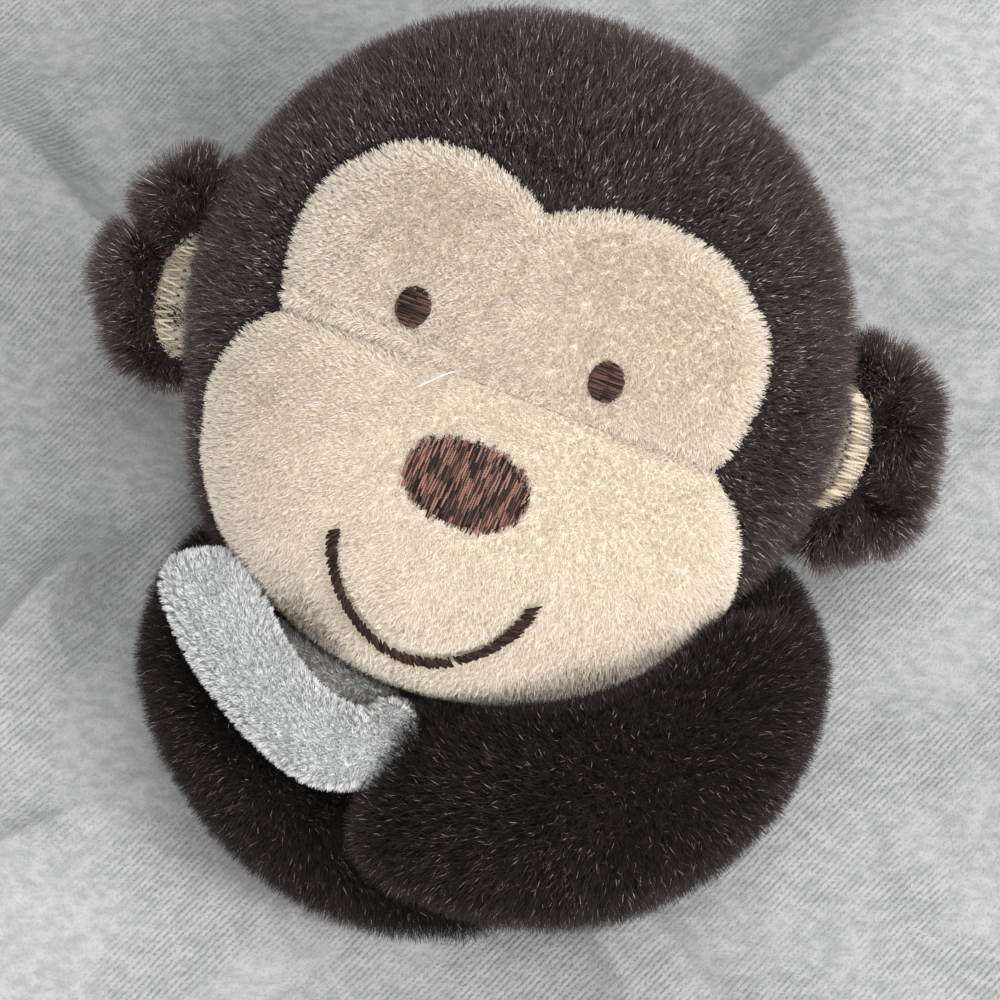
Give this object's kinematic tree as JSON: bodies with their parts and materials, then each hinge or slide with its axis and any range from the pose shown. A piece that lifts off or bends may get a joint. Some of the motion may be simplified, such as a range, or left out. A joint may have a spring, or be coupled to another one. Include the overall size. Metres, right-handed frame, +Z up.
{
  "type": "plush comforter",
  "caption": "Plush monkey comforter lying face up: furry head with a tan embroidered face, soft ears and hugging arms with grey paws, sewn to the middle of a folded grey velour blanket.",
  "frame": {"origin": "middle of the blanket's square, on its underside", "axes": "+Z up through the upturned face, +Y along the blanket towards the crown of the head, +X to the right of a person facing the toy"},
  "size_m": [0.34, 0.34, 0.0671],
  "materials": {
    "brown_fur": "long-pile plush",
    "tan_plush": "short-pile plush",
    "grey_plush": "short-pile plush",
    "grey_velour": "heathered ribbed velour",
    "brown_thread": "satin-stitched embroidery thread",
    "fibre_fill": "loose polyester fibre"
  },
  "bodies": {
    "blanket": {"blanket_back": "grey_velour", "blanket_front": "grey_velour"},
    "head": {"head_front_fur": "brown_fur", "head_back_left_fur": "brown_fur", "head_back_right_fur": "brown_fur", "brow_panel": "tan_plush", "muzzle_panel": "tan_plush", "head_stuffing": "fibre_fill", "left_eye_embroidery": "brown_thread", "right_eye_embroidery": "brown_thread", "nose_embroidery": "brown_thread", "smile_embroidery": "brown_thread"},
    "left_ear": {"left_ear_fur": "brown_fur", "left_ear_lining": "tan_plush"},
    "right_ear": {"right_ear_fur": "brown_fur", "right_ear_lining": "tan_plush"},
    "left_arm": {"left_arm_fur": "brown_fur", "left_arm_stuffing": "fibre_fill", "left_paw_cover": "grey_plush", "left_paw_stuffing": "fibre_fill"},
    "right_arm": {"right_arm_fur": "brown_fur", "right_arm_stuffing": "fibre_fill"},
    "right_paw": {"right_paw_cover": "grey_plush", "right_paw_stuffing": "fibre_fill"}
  },
  "joints": [
    {"name": "head_swivel", "type": "hinge", "parent": "blanket", "child": "head", "pos_m": [0.00126, 0.01185, 0.00335], "axis": [0, 0, 1], "range_deg": [-3, 12]},
    {"name": "left_ear_fold", "type": "hinge", "parent": "head", "child": "left_ear", "pos_m": [-0.04544, 0.03605, 0.03681], "axis": [0.2656, 0.9361, 0.2308], "range_deg": [-18, 32], "stiffness_Nm_per_rad": 0.004},
    {"name": "right_ear_fold", "type": "hinge", "parent": "head", "child": "right_ear", "pos_m": [0.05064, 0.00975, 0.03293], "axis": [-0.2656, -0.9361, -0.2308], "range_deg": [-18, 32], "stiffness_Nm_per_rad": 0.004},
    {"name": "left_arm_swing", "type": "hinge", "parent": "blanket", "child": "left_arm", "pos_m": [-0.03864, -0.00378, 0.0037], "axis": [0, -0.0698, -0.9976], "range_deg": [0, 26]},
    {"name": "right_arm_lift", "type": "hinge", "parent": "blanket", "child": "right_arm", "pos_m": [0.03219, -0.00539, 0.0037], "axis": [0, 0.5299, 0.848], "range_deg": [0, 40]},
    {"name": "right_paw_fold", "type": "hinge", "parent": "right_arm", "child": "right_paw", "pos_m": [-0.0134, -0.03788, 0.0392], "axis": [0.6293, 0.7771, 0], "range_deg": [0, 55]}
  ]
}
